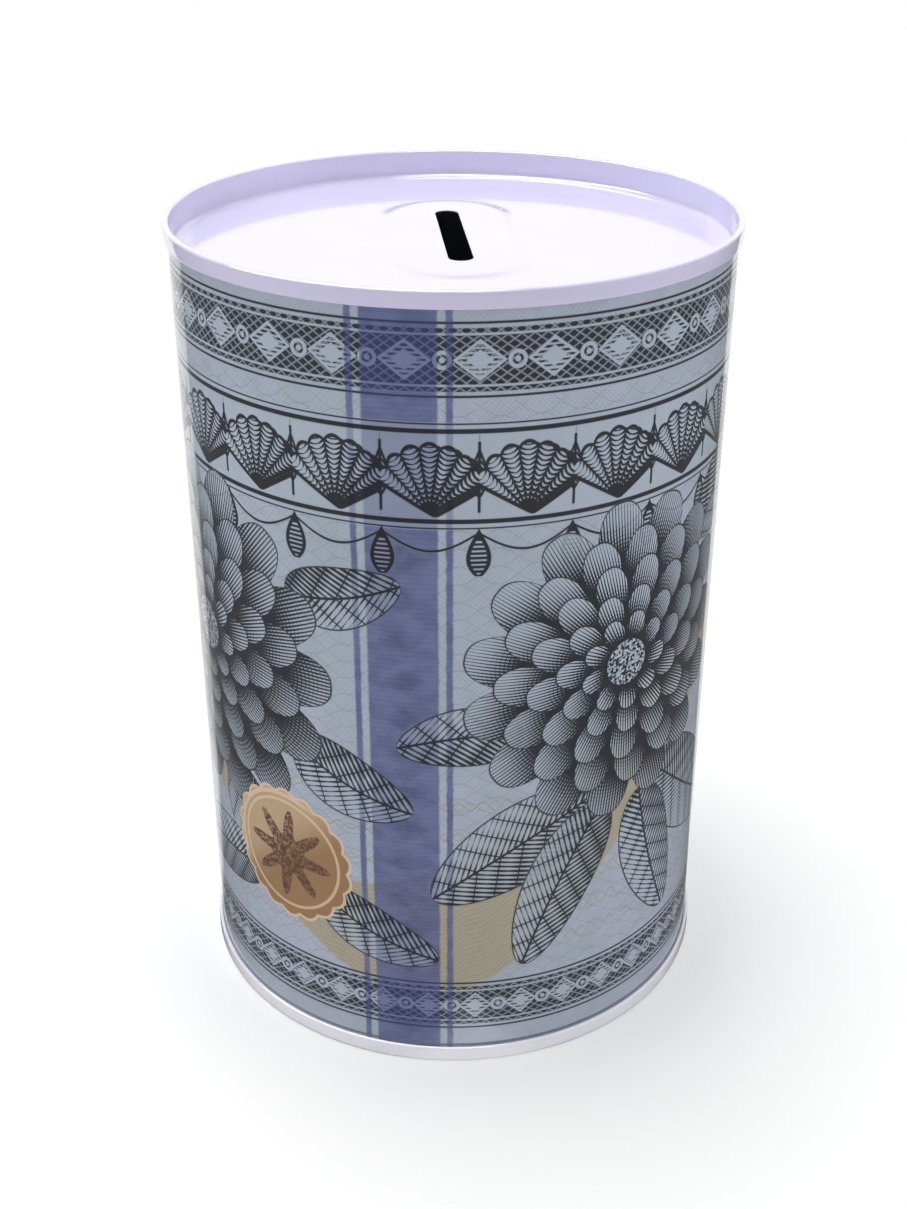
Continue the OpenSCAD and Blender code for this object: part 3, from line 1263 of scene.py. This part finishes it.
    # the sheet's own unevenness
    rough = t["roughness"] + cloud * t["cloudRoughness"]
    normal = f.bump(waves, t["waveHeight"], 0.3)
    return f.done({"Base Color": colour, "Roughness": rough, "Normal": normal, **t["gloss"]})


plate = barePlate("barePlate")
makeBody([printedTin("printedTin"), plate])
makeLid([whiteLacquer("whiteLacquer", lacquer), plate])
# the bottom's paler lacquer is partly painted light on the bottom seam band
makeBottom([whiteLacquer("bottomLacquer", paleBottomLacquerWithPaintedLight), plate])
rubber = liningRubber("liningRubber")
for node in ("top_seam_compound", "bottom_seam_compound"):
    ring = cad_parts[node]
    ring.data.materials.clear()
    ring.data.materials.append(rubber)
print("pieces made")

# floor, world and lamps

studio = {
    "white": (1, 1, 1, 1),
    "floor": (0.93, 0.93, 0.93, 1),
    "floorSize": 6.0,
    "clearFrom": 0.09,     # from here outwards the floor turns into the plain background
    "clearTo": 0.3,
    "world": 0.42,
    "room": 0.14,          # brightness that gloss sees away from the white backdrop
    "backdropEdge": 0.75,  # cosine of the backdrop's half width
    "backdropFade": 0.03,
    "wedge": 0.75,         # how fast the backdrop's mirror image on the floor widens
    "wedgeFade": 4.0,
    "aim": (0, 0, 0.08),   # where the lamps point
    "lamps": [
        # name, place, width and length, turn about its aim in degrees, power, and whether
        # it is there for gloss alone or for all but gloss
        ("overhead", (-0.08, 0.12, 0.85), (0.7, 0.7), 0, 6.6, False),
        ("leftSide", (-0.8, -0.25, 0.4), (0.6, 0.6), 0, 1.6, False),
        ("rightSide", (0.8, -0.25, 0.4), (0.6, 0.6), 0, 2.2, False),
        ("bendShine", (-0.32, -0.06, 0.9), (1.25, 0.4), 51, 17.0, True),
    ],
}


def seenDirectly(f):
    return f.ray("Camera").most(f.ray("Glossy")).most(f.ray("Transmission"))


def makeFloor():
    s = studio
    mesh = bmesh.new()
    bmesh.ops.create_grid(mesh, x_segments=2, y_segments=2, size=s["floorSize"] / 2)
    f = Finish("palePaper")
    x, y = f.inMm(f.place())[:2]
    far = ((x * x + y * y).root() * mm - s["clearFrom"]) / (s["clearTo"] - s["clearFrom"])
    away = far.share() * seenDirectly(f)
    plain = f.node("ShaderNodeBsdfDiffuse", {}, {0: s["floor"]})
    glow = f.node("ShaderNodeEmission", {}, {0: s["white"], 1: 1.0})
    both = f.node("ShaderNodeMixShader", {}, {0: away, 1: plain, 2: glow})
    # gloss sees white floor in a wedge behind the can and a dim room elsewhere
    behind = (y * s["wedge"] + wallR - abs(x)).over(0, s["wedgeFade"])
    dim = f.node("ShaderNodeEmission", {}, {0: s["white"], 1: behind.blend(s["room"], 1.0)})
    both = f.node("ShaderNodeMixShader", {}, {0: f.ray("Glossy"), 1: both, 2: dim})
    f.node("ShaderNodeOutputMaterial", {}, {0: both}, out=None)
    floor = meshObject(mesh, "floor", [f.material])


def makeWorld():
    s = studio
    world = bpy.data.worlds.new("studio")
    bpy.context.scene.world = world
    world.use_nodes = True
    w = Finish("studio", world.node_tree)
    at = w.node("ShaderNodeTexCoord", out="Generated")
    ahead = w.node(
        "ShaderNodeVectorMath", {"operation": "DOT_PRODUCT"}, {0: at, 1: (0, 1, 0)}, "Value")
    room = ahead.over(s["backdropEdge"], s["backdropFade"]).blend(s["room"], 1.0)
    brightness = seenDirectly(w).blend(s["world"], w.ray("Glossy").blend(1.0, room))
    back = w.node("ShaderNodeBackground", {}, {0: s["white"], 1: brightness})
    w.node("ShaderNodeOutputWorld", {}, {0: back}, out=None)


def makeLamps():
    for name, place, size, roll, power, forGloss in studio["lamps"]:
        lamp = bpy.data.lights.new(name, "AREA")
        lamp.shape = "RECTANGLE"
        lamp.size, lamp.size_y = size
        lamp.energy = power
        holder = addObject(name, lamp)
        holder.location = place
        holder.visible_glossy = forGloss
        holder.visible_diffuse = not forGloss
        aim = Vector(studio["aim"]) - Vector(place)
        turned = aim.to_track_quat("-Z", "Y") @ Quaternion((0, 0, 1), math.radians(roll))
        holder.rotation_euler = turned.to_euler()


makeFloor()
makeWorld()
makeLamps()
print("studio lit")
